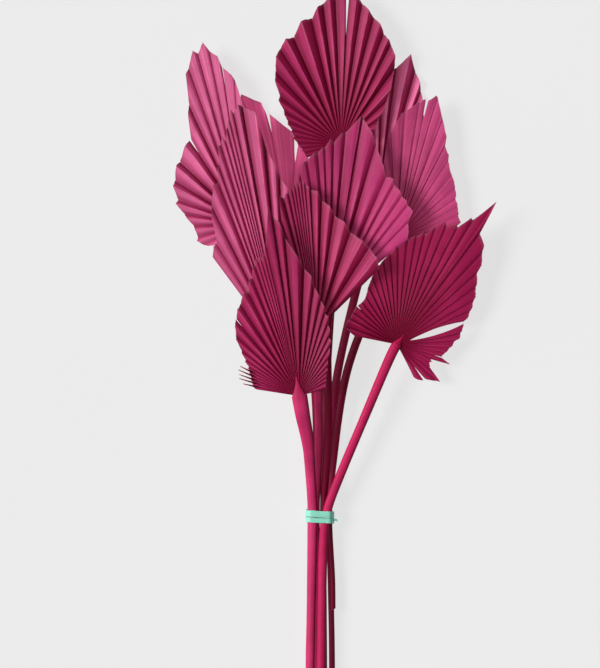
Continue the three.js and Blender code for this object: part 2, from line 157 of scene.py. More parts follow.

# base: where the blade leaves its stalk.
# heading: the blade's axis, clockwise from +Y, seen from above. pitch: tip up. roll: right side down.
# cut: the trimmed edge from the left end of the fan to the right, as (angle from the axis, length).
# valleys: the angles of the valleys between the pleats, from the left end of the fan to the right.
# crest: where a ridge stands between the valleys on its left and right.
# flat: how much the pleats flatten towards the trimmed edge.
# slopes: of the pleats at the fan's left end, middle and right end.
# wings: how far the left and right halves turn up, in degrees.
# tears: between two pleats, as (angle, share of the fold where it starts, gap at the edge, belly).
# bristles: fibres left standing at the edge, as (angle, where it starts, where it ends).
# swell: how round the pleats' faces are. tied: the stalk's row and place in the tie.
# via: a point that the stalk passes on its way up. end: of the stalk. head: its width below the blade.
# depths: how much painted shade deepens the colour at the fan's left end, middle and right end, and on the
# stalk, where 1 is the deepest and more than 1 comes to it before the end.
# approach, costa and slant: where a stalk's run to its blade, its end in it or its run in the tie differ.
LEAVES = {
    "leaf_top": {
        "dye": "magenta", "base": (16.8, 299, 15), "heading": 1, "pitch": 2, "roll": 0,
        "valleys": (-114, -106, -98, -90, -82, -75, -68, -61, -53, -43, -33.5, -25, -14, -8.2, -3, 1.6,
                    7.5, 13.8, 20.5, 26, 35, 47, 58, 70),
        "crest": 0.54, "flat": 0.3, "slopes": (0.8, 0.75, 0.75), "wings": (3, 3),
        "cut": ((-114, 29), (-88, 36), (-70, 46), (-54, 63), (-41, 84), (-32, 92), (-22, 98), (-8, 113),
                (1, 122), (7, 117), (19, 96), (29, 86), (36, 73), (48, 48), (70, 26)),
        "tears": ((2, 0.72, 2.4, 0),), "bristles": (), "swell": 0.03,
        "depths": (0.6, 0.1, 0.2, 0.9),
        "tied": (0, 2), "via": (4.9, 104, 7.6), "end": (2.8, -150), "head": 7.6,
    },
    "leaf_front_left": {
        "dye": "magenta", "base": (-16.4, 97, 42), "heading": -9.4, "pitch": 8, "roll": 0,
        "valleys": (-72, -68.5, -64.5, -61, -57.5, -54, -50.5, -46.5, -42, -36.5, -30, -23, -16.5, -12.2,
                    -9.2, -7.6, -6, -4.4, -3, 1, 4.2, 11.5, 17, 22, 26.5, 31, 36, 41, 47, 53, 59, 65,
                    72, 84),
        "crest": 0.58, "flat": 0.35, "slopes": (0.8, 0.7, 0.8), "wings": (-4, -3),
        "cut": ((-72, 36), (-48, 50), (-40, 65), (-34, 75), (-27, 84), (-14, 99), (-9, 113), (-4, 118),
                (0, 152), (4, 132), (6, 116), (14, 97), (21, 80), (30, 65), (40, 48), (60, 28), (84, 21)),
        "tears": (),
        "bristles": ((-53.5, 42, 53), (-57, 40, 53), (-60.5, 38, 51), (-64, 36, 50), (-68, 35, 46)),
        "swell": 0.05,
        "depths": (0, 0.15, 0.2, 0),
        "tied": (2, 0), "via": (-9.8, 60, 29), "end": (-8, -153), "costa": (16, 0), "head": 12.5,
    },
    "leaf_right": {
        "dye": "wine", "base": (61.6, 138, 23), "heading": 34.8, "pitch": 1, "roll": 12,
        "valleys": (-113, -104, -95, -88, -81, -74.5, -68, -61, -55, -49.5, -44.5, -39.5, -34.5, -29.5,
                    -25, -21, -17, -12.5, -7.5, -3.4, 2, 8.5, 14, 20, 26.5, 32, 38, 46, 53, 60, 66,
                    72, 79, 84, 90, 98, 107, 117),
        "crest": 0.7, "flat": 0.5, "slopes": (0.9, 0.26, 0.3), "wings": (0, -3),
        "cut": ((-113, 35), (-106, 45), (-87, 45), (-70, 46), (-60, 54), (-52, 63), (-43, 70), (-33, 83),
                (-20, 94), (-15, 104), (-7, 108), (-4, 117), (0, 136), (2, 110), (5, 107), (10, 99), (15, 84),
                (24, 74), (34, 64), (39, 57), (50, 51), (64, 41), (71, 38), (76, 46), (79, 31), (89, 32),
                (96, 47), (117, 31)),
        "tears": ((38, 0.15, 1.6, 4), (72, 0.8, 0.9, 0), (107, 0.6, 1.8, 0)),
        "bristles": (), "swell": 0.03,
        "depths": (0.35, 0.05, 0, 0),
        "tied": (2, 1), "via": (37.4, 84, 20), "end": (0.6, -162), "head": 8,
        "approach": 4, "costa": (10, 0.3), "slant": 0.2,
    },
    "leaf_centre": {
        "dye": "magenta", "base": (-2.4, 149.6, 37), "heading": 0, "pitch": 3, "roll": 0,
        "valleys": (-46, -37, -29, -23, -18, -14.2, -11.6, -9.9, -8.6, -7.2, -5.9, -4.6, -2.4, 2.2, 8.6,
                    19, 32.5, 45.3),
        "crest": 0.57, "flat": 0.35, "slopes": (0.9, 0.85, 0.6), "wings": (14, 10),
        "cut": ((-46, 30), (-27.4, 44), (-21, 77), (-16.2, 108), (-11.5, 112), (-6, 120), (-2, 112),
                (3.5, 102), (16, 85), (23, 81), (36, 77), (45.3, 69)),
        "tears": (), "bristles": (), "swell": 0.05,
        "depths": (0.35, 0.1, 0, 0.1),
        "tied": (1, 1), "via": (-0.8, 69.6, 21.5), "end": (-2.8, -158), "head": 8.4,
    },
    "leaf_middle": {
        "dye": "rose", "base": (8, 171, 26), "heading": 9.4, "pitch": 3, "roll": 0,
        "valleys": (-57, -49, -42, -36, -31, -26.5, -22.5, -18.5, -14, -11.2, -8, -4.2, 0.6, 6.8, 14.6,
                    19, 24.5, 29, 34.5, 41),
        "crest": 0.62, "flat": 0.65, "slopes": (0.9, 0.9, 0.28), "wings": (10, 8),
        "cut": ((-57, 17), (-36, 47), (-26, 86), (-22, 111), (-12, 123), (-3, 143), (0, 152), (7, 131),
                (15, 112), (32, 98), (41, 80)),
        "tears": (), "bristles": (), "swell": 0.05,
        "depths": (0.6, 0.45, 0, 1),
        "tied": (1, 2), "via": (6.6, 69.6, 15.7), "end": (3.4, -146), "head": 8,
    },
    "leaf_left": {
        "dye": "pink", "base": (-28, 130, 25), "heading": -9.6, "pitch": 2, "roll": 0,
        "valleys": (-27, -22, -16.5, -11.4, -9.6, -7.3, -5.9, -4.6, -3.6, -2.4, -0.1, 4.4, 8,
                    12, 17, 23, 30),
        "crest": 0.6, "flat": 0.3, "slopes": (0.4, 0.9, 0.8), "wings": (-3, -6),
        "cut": ((-27, 97), (-21, 108), (-17, 134), (-12, 150), (-9, 164), (-7, 177), (-2, 199), (0, 202),
                (3, 191), (5, 156), (9, 142), (13, 120), (20, 77), (30, 36)),
        "tears": (), "bristles": (), "swell": 0.07,
        "depths": (0, 0.2, 0, 0.6),
        "tied": (1, 0), "via": (-15.2, 92, 18), "end": (-8.4, -147), "head": 8,
    },
    "leaf_far_left": {
        "dye": "pale", "base": (-60, 234, 14), "heading": -13, "pitch": 1, "roll": -4,
        "valleys": (-115, -104, -92, -78, -67, -57, -45, -33, -20, -12.2, -6.8, -2.4, 1.5, 4.8, 9, 14, 19,
                    25, 34),
        "crest": 0.7, "flat": 0.4, "slopes": (0.3, 1.2, -0.2), "wings": (0, 0),
        "cut": ((-115, 27), (-100, 43), (-88, 38), (-61, 56), (-50, 65), (-44, 69), (-30, 74), (-20, 82),
                (-15, 97), (-9, 124), (-5, 141), (0, 146), (4, 133), (9, 116), (12, 98), (19, 68), (34, 33)),
        "tears": ((-20, 0.84, 1.6, 0),), "bristles": (), "swell": 0.07,
        "depths": (0.1, 0.1, 0, 0.9),
        "tied": (0, 0), "via": (-14.4, 97, 8), "end": (-8.6, -152), "head": 7.6,
    },
    "leaf_right_back": {
        "dye": "soft", "base": (61.6, 222, 15), "heading": 15, "pitch": 1, "roll": 2,
        "valleys": (-48, -42, -36, -30, -24.5, -18, -11.5, -5.5, -2.8, 0.9, 6, 12.3, 18, 25.5, 33.4, 40,
                    47, 54, 62, 72, 84),
        "crest": 0.78, "flat": 0.75, "slopes": (0.5, 0.3, 0.22), "wings": (0, 0),
        "cut": ((-48, 22), (-29, 49), (-21, 80), (-15, 98), (-10, 105), (-5, 112), (0, 120), (6, 102),
                (18, 76), (35, 61), (61, 52), (72, 36), (84, 20)),
        "tears": ((-4, 0.8, 2, 0),), "bristles": (), "swell": 0.05,
        "depths": (0.3, 0, 0, 1),
        "tied": (1, 3), "via": (21.6, 116, 12), "end": (10.2, -75), "head": 8,
    },
    "leaf_far_right": {
        "dye": "pale", "base": (46.4, 250, 3.4), "heading": 12.4, "pitch": 0, "roll": 0,
        "valleys": (-51, -42, -34, -27, -21, -15.5, -10, -4.5, 3.4, 8.5, 14.5, 22.4, 30, 39, 48, 58),
        "crest": 0.66, "flat": 0.3, "slopes": (0.7, 0.8, 0.7), "wings": (0, 0),
        "cut": ((-51, 23), (-32, 47), (-17, 80), (-9, 100), (-5, 113), (0, 124), (6, 104), (11, 91),
                (25, 65), (39, 40), (58, 22)),
        "tears": (), "bristles": (), "swell": 0.04,
        "depths": (0.2, 0, 0, 1),
        "tied": (0, 3), "via": (12.4, 104, 4.2), "end": (9.8, -148), "head": 7.6,
    },
    "leaf_far_back": {
        "dye": "blush", "base": (-23.2, 222, 3.4), "heading": -14, "pitch": 0, "roll": 0,
        "valleys": (-51, -40, -30, -21, -13, -4.8, 4, 17, 25, 33, 43, 53, 63),
        "crest": 0.78, "flat": 0.8, "slopes": (0.2, 0.2, 0.2), "wings": (0, 0),
        "cut": ((-51, 24), (-27, 53), (-14, 91), (-4, 129), (3, 108), (5, 101), (15, 88), (19, 79),
                (25, 69), (37, 44), (63, 21)),
        "tears": ((4, 0.85, 2.4, 0), (17, 0.74, 4.4, 0)), "bristles": (), "swell": 0.06,
        "depths": (0.3, 0, 1.2, 1),
        "tied": (0, 1), "via": (-3.8, 100, 4), "end": (-2.9, -155), "head": 7.6,
    },
}


# Small sums

def lerp(a, b, share):
    return a + (b - a) * share


def clamp(value, low=0.0, high=1.0):
    return max(low, min(high, value))


def smoothstep(value, low, high):
    share = clamp((value - low) / (high - low))
    return share * share * (3 - 2 * share)


def seeded_random(seed):
    """Random numbers from 0 to 1 that are the same on each run."""
    state = seed
    while True:
        state = (state * 1664525 + 1013904223) % 4294967296
        yield state / 4294967296


def across_fan(values, share):
    """The value at a share of the fan of three that stand at its left end, middle and right end."""
    left, middle, right = values
    return lerp(left, middle, share * 2) if share < 0.5 else lerp(middle, right, share * 2 - 1)


# The folds of a blade

def trimmed_length(cut, angle):
    """The length of a fold, up to the straight cut between the two corners beside it."""
    after = next((i for i, corner in enumerate(cut) if corner[0] >= angle), len(cut) - 1)
    after = int(clamp(after, 1, len(cut) - 1))
    ends = []
    for corner, length in cut[after - 1:after + 1]:
        turn = math.radians(corner - angle)
        ends.append((length * math.sin(turn), length * math.cos(turn)))
    (start_x, start_y), (end_x, end_y) = ends
    return lerp(start_y, end_y, clamp(start_x / (start_x - end_x)))


def local_corners(cut):
    """The angles of the edge's corners that stand out past the corners beside them."""
    lengths = [0] + [length for _, length in cut] + [0]
    return [cut[i][0] for i in range(len(cut)) if lengths[i + 1] > max(lengths[i], lengths[i + 2])]


def fold_lines(leaf, draw):
    """The folds from left to right: valley, ridge, valley and so on, as (angle, length, rise)."""
    cut, valleys = leaf["cut"], leaf["valleys"]
    widths = [after - angle for angle, after in zip(valleys, valleys[1:])]
    corners = local_corners(cut)
    folds = []

    def add_fold(angle, width, side):
        wander = 1 + TRIM_WANDER * (2 * next(draw) - 1) + RIDGE_PROUD * (1 - leaf["flat"]) * side
        share = (angle - valleys[0]) / (valleys[-1] - valleys[0])
        rise = side * across_fan(leaf["slopes"], share) * math.radians(width) / 4
        folds.append((angle, trimmed_length(cut, angle) * wander, rise))

    for angle, before, width in zip(valleys, widths[:1] + widths, widths):
        first, last = (angle + share * width for share in RIDGE_SNAP)
        inside = [corner for corner in corners if first < corner < last]
        add_fold(angle, (before + width) / 2, -1)
        add_fold(inside[0] if inside else angle + width * leaf["crest"], width, 1)
    add_fold(valleys[-1], widths[-1], -1)
    return folds


def leaf_frame(leaf):
    """The place of a leaf's own frame: X to the right, Y along the blade's axis and Z up."""
    turn = Matrix.Rotation(math.radians(-leaf["heading"]), 4, "Z")
    turn = turn @ Matrix.Rotation(math.radians(leaf["pitch"]), 4, "X")
    turn = turn @ Matrix.Rotation(math.radians(leaf["roll"]), 4, "Y")
    return Matrix.Translation(leaf["base"]) @ turn


def flattened(leaf, share):
    """How much of the pleats' depth is left at a share of a fold's length."""
    return 1 - leaf["flat"] * smoothstep(share, FLATTEN_START, 1)


def fold_point(leaf, fold, share):
    """A point of a fold, at a share of its length, in the leaf's own frame."""
    angle, length, rise = fold
    radius = lerp(FAN_START, length, share)
    turn = math.radians(angle)
    x = radius * math.sin(turn)
    wing = math.tan(math.radians(leaf["wings"][0 if x < 0 else 1]))
    aside = math.hypot(x, MIDRIB_ROUNDING) - MIDRIB_ROUNDING
    depth = rise * radius * flattened(leaf, share)
    return Vector((x, radius * math.cos(turn), depth + wing * aside))


# Tears in a blade

def tears_of(leaf, folds, draw):
    """The leaf's own tears and a few short nicks, as (valley, share where it starts, gap, belly)."""
    valleys = range(0, len(folds), 2)
    tears = [(min(valleys, key=lambda i: abs(folds[i][0] - angle)), start, gap, belly)
             for angle, start, gap, belly in leaf["tears"]]
    for valley in valleys[1:-1]:
        chance, start, gap = next(draw), next(draw), next(draw)
        if chance < NICK_CHANCE and all(abs(valley - torn) > 2 for torn, *_ in tears):
            tears.append((valley, lerp(*NICK_START, start), lerp(*NICK_GAP, gap), 0))
    return tears


def split_along(bm, tears, columns):
    """Cuts the flat grid open along the tears."""
    for valley, start, *_ in tears:
        line = valley * len(FACE_STRIPS) / columns - 0.5
        torn = [edge for edge in bm.edges
                if all(abs(v.co.x - line) < 0.2 / columns and v.co.y + 0.5 > start for v in edge.verts)]
        bmesh.ops.split_edges(bm, edges=torn)


def side_of(vert):
    """-1 or 1 for a point on the left or right lip of a tear, and 0 elsewhere."""
    middle = sum(face.calc_center_median().x for face in vert.link_faces) / len(vert.link_faces)
    return 0 if abs(middle - vert.co.x) < 1e-6 else math.copysign(1, middle - vert.co.x)


def tear_push(tears, place, share, lip):
    """How far a point is pushed to the right by the tears near it."""
    push = 0
    for valley, start, gap, belly in tears:
        near = 1 - abs(place - valley) / TEAR_REACH
        if near > 0 and share > start:
            side = lip if abs(place - valley) < 1e-6 else math.copysign(1, place - valley)
            open_share = (share - start) / (1 - start)
            push += side * near * (gap / 2 * open_share + belly * 2 * open_share * (1 - open_share))
    return push


# The pieces of a leaf, whose points carry values for the materials

# depth carries how much painted shade a point takes.
LEAF_VALUES = ("across", "along", "reach", "rim", "steep", "depth")


def blade(bm, layers, leaf, folds, draw):
    """A flat grid bent into the pleated fan, torn, and given its thickness, in the leaf's own frame."""
    strips = len(FACE_STRIPS)
    columns = (len(folds) - 1) * strips
    bmesh.ops.create_grid(bm, x_segments=columns, y_segments=RINGS, size=0.5)
    tears = tears_of(leaf, folds, draw)
    depths = [1 + DEPTH_WANDER * (2 * next(draw) - 1) for _ in folds]
    folds = [(angle, length, rise * depth) for (angle, length, rise), depth in zip(folds, depths)]
    roughness = [TRIM_ROUGHNESS * (2 * next(draw) - 1) for _ in range(columns + 1)]
    split_along(bm, tears, columns)
    flat = [(v, v.co.x + 0.5, v.co.y + 0.5, side_of(v)) for v in bm.verts]
    for vert, u, share, lip in flat:
        column = round(u * columns)
        left = min(column // strips, len(folds) - 2)
        inside = FACE_STRIPS[column % strips] if column < columns else 1
        place = left + inside
        start = fold_point(leaf, folds[left], share)
        end = fold_point(leaf, folds[left + 1], share)
        point = start.lerp(end, inside)
        point.z += leaf["swell"] * (end - start).length * 4 * inside * (1 - inside)
        radius = math.hypot(point.x, point.y)
        push = tear_push(tears, place, share, lip)
        point = Matrix.Rotation(-push / radius, 3, "Z") @ point
        point.z += push * TEAR_LIFT
        point.xy *= 1 + roughness[column] / radius * smoothstep(share, TRIM_ROUGH_START, 1)
        vert.co = point
        vert[layers["across"]] = place
        vert[layers["along"]] = radius * MM
        vert[layers["reach"]] = share
        vert[layers["rim"]] = vert.is_boundary
        angle = lerp(folds[left][0], folds[left + 1][0], inside)
        fan_share = (angle - folds[0][0]) / (folds[-1][0] - folds[0][0])
        slope = across_fan(leaf["slopes"], fan_share)
        vert[layers["steep"]] = clamp(slope / FULL_SLOPE) * flattened(leaf, share)
        # Painted shade across the fan, from the leaf's depths.
        vert[layers["depth"]] = across_fan(leaf["depths"][:3], fan_share)
    thicken(bm)
    for face in bm.faces:
        face.material_index = 2 if all(v[layers["rim"]] > 0.5 for v in face.verts) else 0


def thicken(bm):
    """Makes a closed sheet of the open one, with its thickness along the leaf's own Z."""
    bmesh.ops.translate(bm, verts=bm.verts, vec=(0, 0, -SHEET_THICKNESS / 2))
    made = bmesh.ops.extrude_face_region(bm, geom=bm.faces[:])["geom"]
    upper = [item for item in made if isinstance(item, bmesh.types.BMVert)]
    bmesh.ops.translate(bm, verts=upper, vec=(0, 0, SHEET_THICKNESS))


def bristles(bm, layers, leaf):
    """Stiff fibres that the trimming left standing, in the leaf's own frame."""
    for angle, start, end in leaf["bristles"]:
        turn = Matrix.Rotation(math.radians(-angle), 4, "Z")
        lie = Matrix.Translation((0, (start + end) / 2, BRISTLE_LIFT))
        lie = lie @ Matrix.Rotation(math.radians(-90), 4, "X")
        root, tip = BRISTLE_RADII
        made = bmesh.ops.create_cone(bm, cap_ends=True, segments=6, radius1=root, radius2=tip,
                                     depth=end - start, matrix=turn @ lie)["verts"]
        for vert in made:
            vert[layers["across"]] = angle
            vert[layers["along"]] = vert.co.length * MM
            vert[layers["reach"]] = 0


def row_height(row):
    """The height of the middle of a row of stalks in the tie."""
    below = sum(low["height"] + ROW_GAP for low in ROWS[:row])
    return TIE_THICKNESS + TIE_CLEARANCE + below + ROWS[row]["height"] / 2


def stalk_points(leaf, place):
    """The points that a stalk passes, from its cut end up to the tip of the costa."""
    row, slot = leaf["tied"]
    x, z = ROWS[row]["places"][slot], row_height(row)
    slant = leaf.get("slant", 0) * TIED_LENGTH / 2
    end_x, end_y = leaf["end"]
    points = [Vector((end_x, end_y, z + end_y * END_DROP)),
              Vector((lerp(end_x, x, LOWER_DRIFT), end_y * LOWER_POINT, z + end_y * END_DROP * LOWER_POINT)),
              Vector((x - slant, -TIED_LENGTH / 2, z)),
              Vector((x, 0, z)),
              Vector((x + slant, TIED_LENGTH / 2, z)),
              Vector(leaf["via"])]
    approach = leaf.get("approach", APPROACH)
    length, sink = leaf.get("costa", COSTA)
    ends = ((0, -approach, 0), (0, 0, -sink), (0, length, -sink))
    return points + [place @ Vector(end) for end in ends]


def on_line(points, share):
    """A point of the smooth line through the given points, at a share of its stretches."""
    last = len(points) - 1
    i = min(int(share * last), last - 1)
    t = share * last - i
    b, c = points[i], points[i + 1]
    a = points[i - 1] if i else 2 * b - c
    d = points[i + 2] if i + 2 <= last else 2 * c - b
    before, here, after = ((q - p).length ** 0.5 for p, q in ((a, b), (b, c), (c, d)))
    leave = ((b - a) / before - (c - a) / (before + here) + (c - b) / here) * here
    arrive = ((c - b) / here - (d - b) / (here + after) + (d - c) / after) * here
    bend = -3 * b + 3 * c - 2 * leave - arrive
    return b + leave * t + bend * t ** 2 + (2 * b - 2 * c + leave + arrive) * t ** 3


def stalk_size(leaf, distance, above_tie):
    """A stalk's width and height at a distance below its blade, where less than 0 is in the blade."""
    tied = ROWS[leaf["tied"][0]]
    to_body = smoothstep(above_tie, *BODY_STRETCH)
    body = [max(part, lerp(part, full, to_body)) for part, full in zip((tied["width"], tied["height"]), BODY)]
    to_head = smoothstep(HEAD_LENGTH - distance, 0, HEAD_LENGTH)
    taper = clamp(1 + distance / leaf.get("costa", COSTA)[0]) ** COSTA_TAPER
    return (lerp(COSTA_TIP, lerp(body[0], leaf["head"], to_head), taper),
            lerp(COSTA_TIP, lerp(body[1], HEAD_HEIGHT, to_head), taper))


def stalk(bm, layers, leaf, place, seed):
    """A flat grid rolled into the stalk along its line, closed at its slanting cut end and its tip."""
    points = stalk_points(leaf, place)
    steps = STALK_STEPS * (len(points) - 1)
    made = bmesh.ops.create_grid(bm, x_segments=STALK_SIDES, y_segments=steps, size=0.5)["verts"]
    inverse = place.inverted()
    blade_up = place.to_3x3() @ Vector((0, 0, 1))
    for vert in made:
        u, share = vert.co.x + 0.5, vert.co.y + 0.5
        centre = on_line(points, share)
        ahead = on_line(points, clamp(share + LINE_STEP)) - on_line(points, clamp(share - LINE_STEP))
        ahead.normalize()
        up = Vector((0, 0, 1)).lerp(blade_up, smoothstep(share, TURN_UP_START, 1))
        aside = ahead.cross(up).normalized()
        up = aside.cross(ahead)
        distance = -(inverse @ centre).y
        width, height = stalk_size(leaf, distance, centre.y)
        turn = -math.pi / 2 - 2 * math.pi * u
        wander = noise.noise(Vector((math.cos(turn), centre.y / WANDER_LENGTH, math.sin(turn) + seed)))
        swell = 1 + STALK_WANDER * wander - STALK_FLATTENING * max(0, math.sin(turn)) ** 4
        right = math.cos(turn) * width / 2 * (1 + STALK_WANDER * wander)
        vert.co = centre + aside * right + up * math.sin(turn) * height / 2 * swell
        slant = 1 - smoothstep(share, 0, CUT_STRETCH / (len(points) - 1))
        vert.co += ahead * END_SLANT * right * slant
        vert[layers["across"]] = u * STALK_SIDES / 2
        vert[layers["along"]] = centre.y * MM
        # Painted shade where the stalk runs under its blade, and from the leaf's depths.
        vert[layers["reach"]] = smoothstep(-distance, *BLADE_SHADE_STRETCH)
        vert[layers["depth"]] = leaf["depths"][3]
    faces = {face for vert in made for face in vert.link_faces}
    for face in faces:
        face.material_index = 1
    bmesh.ops.remove_doubles(bm, verts=made, dist=0.001)
    rims = [edge for edge in bm.edges if edge.is_boundary]
    for cap in bmesh.ops.holes_fill(bm, edges=rims, sides=0)["faces"]:
        cap.material_index = 2


def warp(bm):
    """Slow waves that all the blades share, so that none moves into the next."""
    for vert in bm.verts:
        wave = noise.noise(Vector((vert.co.x, vert.co.y, 0)) / WARP_LENGTH) + 1
        vert.co.z += WARP_HEIGHT / 2 * wave * smoothstep(vert.co.y, WARP_START, WARP_FULL)


def finish_piece(bm, name, materials, node):
    """Puts a mesh in its place as a piece of the bunch that stands for a node of the frame."""
    bmesh.ops.transform(bm, matrix=PLACE, verts=bm.verts)
    bmesh.ops.recalc_face_normals(bm, faces=bm.faces)
    for face in bm.faces:
        face.smooth = True
    for edge in bm.edges:
        edge.smooth = len({face.material_index for face in edge.link_faces}) == 1
    mesh = bpy.data.meshes.new(name)
    bm.to_mesh(mesh)
    bm.free()
    for material in materials:
        mesh.materials.append(material)
    piece = bpy.data.objects.new(name, mesh)
    bpy.context.scene.collection.objects.link(piece)
    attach(piece, "root")
    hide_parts(node)
    return piece


def palm_leaf(name, leaf, materials):
    draw = seeded_random(len(name) * SEED_STEP + len(leaf["valleys"]))
    folds = fold_lines(leaf, draw)
    place = leaf_frame(leaf)
    bm = bmesh.new()
    layers = {key: bm.verts.layers.float.new(key) for key in LEAF_VALUES}
    blade(bm, layers, leaf, folds, draw)
    bristles(bm, layers, leaf)
    bmesh.ops.transform(bm, matrix=place, verts=bm.verts)
    stalk(bm, layers, leaf, place, len(name))
    warp(bm)
    return finish_piece(bm, "palm_" + name, materials, name)


# The tie

def tie_outline(distance, steps=10):
    """The rounded outline round the outer stalks, at a distance from their skins, in X and Z."""
    reach = ROWS[0]["height"] / 2 + distance
    corners = []
    for side, rows in ((-1, range(len(ROWS))), (0, reversed(range(len(ROWS))))):
        for row in rows:
            half = abs(ROWS[row]["places"][side]) + ROWS[row]["width"] / 2 - ROWS[0]["height"] / 2
            lift = (ROWS[row]["height"] - ROWS[0]["height"]) / 2 if row else 0
            corners.append(Vector((half if side else -half, row_height(row) + lift)))
    outline = []
    for i, corner in enumerate(corners):
        to_here = corner - corners[i - 1]
        to_next = corners[(i + 1) % len(corners)] - corner
        start = math.atan2(to_here.y, to_here.x) - math.pi / 2
        turn = (math.atan2(to_next.y, to_next.x) - math.pi / 2 - start) % (2 * math.pi)
        for step in range(steps + 1):
            angle = start + turn * step / steps
            outline.append(corner + reach * Vector((math.cos(angle), math.sin(angle))))
    return outline


def round_outline(outline, share):
    """A point at a share of the way round a closed outline, and the direction out of it."""
    ends = outline[1:] + outline[:1]
    lengths = [(b - a).length for a, b in zip(outline, ends)]
    left = share % 1 * sum(lengths)
    for a, b, length in zip(outline, ends, lengths):
        if left <= length and length > 0:
            ahead = (b - a) / length
            return a + ahead * left, Vector((ahead.y, -ahead.x))
        left -= length
    return outline[0].copy(), Vector((1, 0))


def band_turn(bm, layers, middle, width, outline, seed):
    """One turn of the band: a flat grid rolled into a closed ring with rounded edges."""
    made = bmesh.ops.create_grid(bm, x_segments=TURN_SIDES, y_segments=TURN_STEPS, size=0.5)["verts"]
    for vert in made:
        u, share = vert.co.x + 0.5, vert.co.y + 0.5
        point, out = round_outline(outline, share)
        turn = 2 * math.pi * u
        across, through = math.cos(turn), math.sin(turn)
        across = math.copysign(abs(across) ** TURN_FULLNESS, across)
        through = math.copysign(abs(through) ** TURN_FULLNESS, through)
        round_way = Vector((math.cos(2 * math.pi * share), math.sin(2 * math.pi * share), seed))
        sway = TURN_SWAY * noise.noise(round_way * SWAY_RATE)
        narrow = 1 + TURN_NARROWING * noise.noise(round_way * NARROWING_RATE)
        point = point + out * TIE_THICKNESS / 2 * through
        y = middle + TURN_SLANT * point.x + sway + across * width / 2 * narrow
        vert.co = (point.x, y, point.y)
        vert[layers["across"]] = across
        vert[layers["along"]] = share
    bmesh.ops.remove_doubles(bm, verts=made, dist=0.001)


def band_tail(bm, layers):
    """A loose end of the band, made before its turns: a small cube drawn out to a bent, tapered strip."""
    bmesh.ops.create_cube(bm, size=1)
    bmesh.ops.subdivide_edges(bm, edges=bm.edges[:], cuts=TAIL_CUTS, use_grid_fill=True)
    strip = bm.verts[:]
    root, bend, tip = (Vector(point) for point in TAIL_LINE)
    for vert in strip:
        share = vert.co.x + 0.5
        line = root.lerp(bend, share).lerp(bend.lerp(tip, share), share)
        rounded = math.sqrt(max(TAIL_END, 1 - (2 * share - 1) ** TAIL_BLUNTNESS))
        taper = (1 - TAIL_TAPER * share ** 2) * rounded
        vert.co = line + Vector((0, vert.co.y * TAIL_WIDTH * taper, vert.co.z * TIE_THICKNESS * taper))
        vert[layers["across"]] = share
    bmesh.ops.smooth_vert(bm, verts=strip, factor=TAIL_SMOOTHING,
                          use_axis_x=True, use_axis_y=True, use_axis_z=True)


def tie(material):
    bm = bmesh.new()
    layers = {key: bm.verts.layers.float.new(key) for key in ("across", "along")}
    outline = tie_outline(TIE_CLEARANCE + TIE_THICKNESS / 2)
    band_tail(bm, layers)
    for seed, (middle, width) in enumerate(TURNS):
        band_turn(bm, layers, middle, width, outline, seed * 7)
    return finish_piece(bm, "tie_turns", [material], "tie_band")


# Shader nodes

def add_node(tree, kind, inputs=None, **settings):
    """A node with its settings, and its inputs set to values or linked to other nodes' outputs."""
    made = tree.nodes.new(kind)
    for key, value in settings.items():
        setattr(made, key, value)
    for key, value in (inputs or {}).items():
        if isinstance(value, bpy.types.NodeSocket):
            tree.links.new(value, made.inputs[key])
        else:
            made.inputs[key].default_value = value
    return made


def sum_node(tree, operation, a, b=0.0):
    return add_node(tree, "ShaderNodeMath", {0: a, 1: b}, operation=operation).outputs[0]


def ramp(tree, value, low, high, to_low=0.0, to_high=1.0):
    """A value that goes smoothly from one level to another between two places."""
    levels = {"Value": value, "From Min": low, "From Max": high, "To Min": to_low, "To Max": to_high}
    return add_node(tree, "ShaderNodeMapRange", levels, interpolation_type="SMOOTHSTEP").outputs[0]


def mix_colour(tree, share, a, b, blend="MIX"):
    inputs = {0: share, 6: a, 7: b}
    return add_node(tree, "ShaderNodeMix", inputs, data_type="RGBA", blend_type=blend).outputs[2]


def own_value(tree, name):
    """A value that the piece's own mesh carries."""
    return add_node(tree, "ShaderNodeAttribute", attribute_name=name).outputs["Fac"]


def new_group(name, inputs, outputs):
    group = bpy.data.node_groups.new(name, "ShaderNodeTree")
    for socket, kind in inputs:
        group.interface.new_socket(socket, in_out="INPUT", socket_type=kind)
    for socket, kind in outputs:
        group.interface.new_socket(socket, in_out="OUTPUT", socket_type=kind)
    return group, group.nodes.new("NodeGroupInput").outputs, group.nodes.new("NodeGroupOutput").inputs


def dry_fibre_group():
    """Strands that run along a pleat or a stalk: their shade and their height."""
    numbers = [(key, "NodeSocketFloat") for key in ("Across", "Along", "Strands")]
    group, given, out = new_group("dry_fibre", numbers,
                                  [("Strand", "NodeSocketFloat"), ("Height", "NodeSocketFloat")])
    across = sum_node(group, "MULTIPLY", given["Across"], given["Strands"])
    along = sum_node(group, "MULTIPLY", given["Along"], 9.0)
    broad = add_node(group, "ShaderNodeCombineXYZ", {"X": across, "Y": along})
    strand = add_node(group, "ShaderNodeTexNoise",
                      {"Vector": broad.outputs[0], "Scale": 1.0, "Detail": 3.0, "Roughness": 0.6})
    fine_across = sum_node(group, "MULTIPLY", across, 3.1)
    fine = add_node(group, "ShaderNodeCombineXYZ", {"X": fine_across, "Y": along, "Z": 4.0})
    hair = add_node(group, "ShaderNodeTexNoise",
                    {"Vector": fine.outputs[0], "Scale": 1.0, "Detail": 2.0, "Roughness": 0.5})
    group.links.new(ramp(group, strand.outputs["Fac"], 0.3, 0.7), out["Strand"])
    height = sum_node(group, "ADD", strand.outputs["Fac"], hair.outputs["Fac"])
    group.links.new(sum_node(group, "MULTIPLY", height, 0.5), out["Height"])
    return group


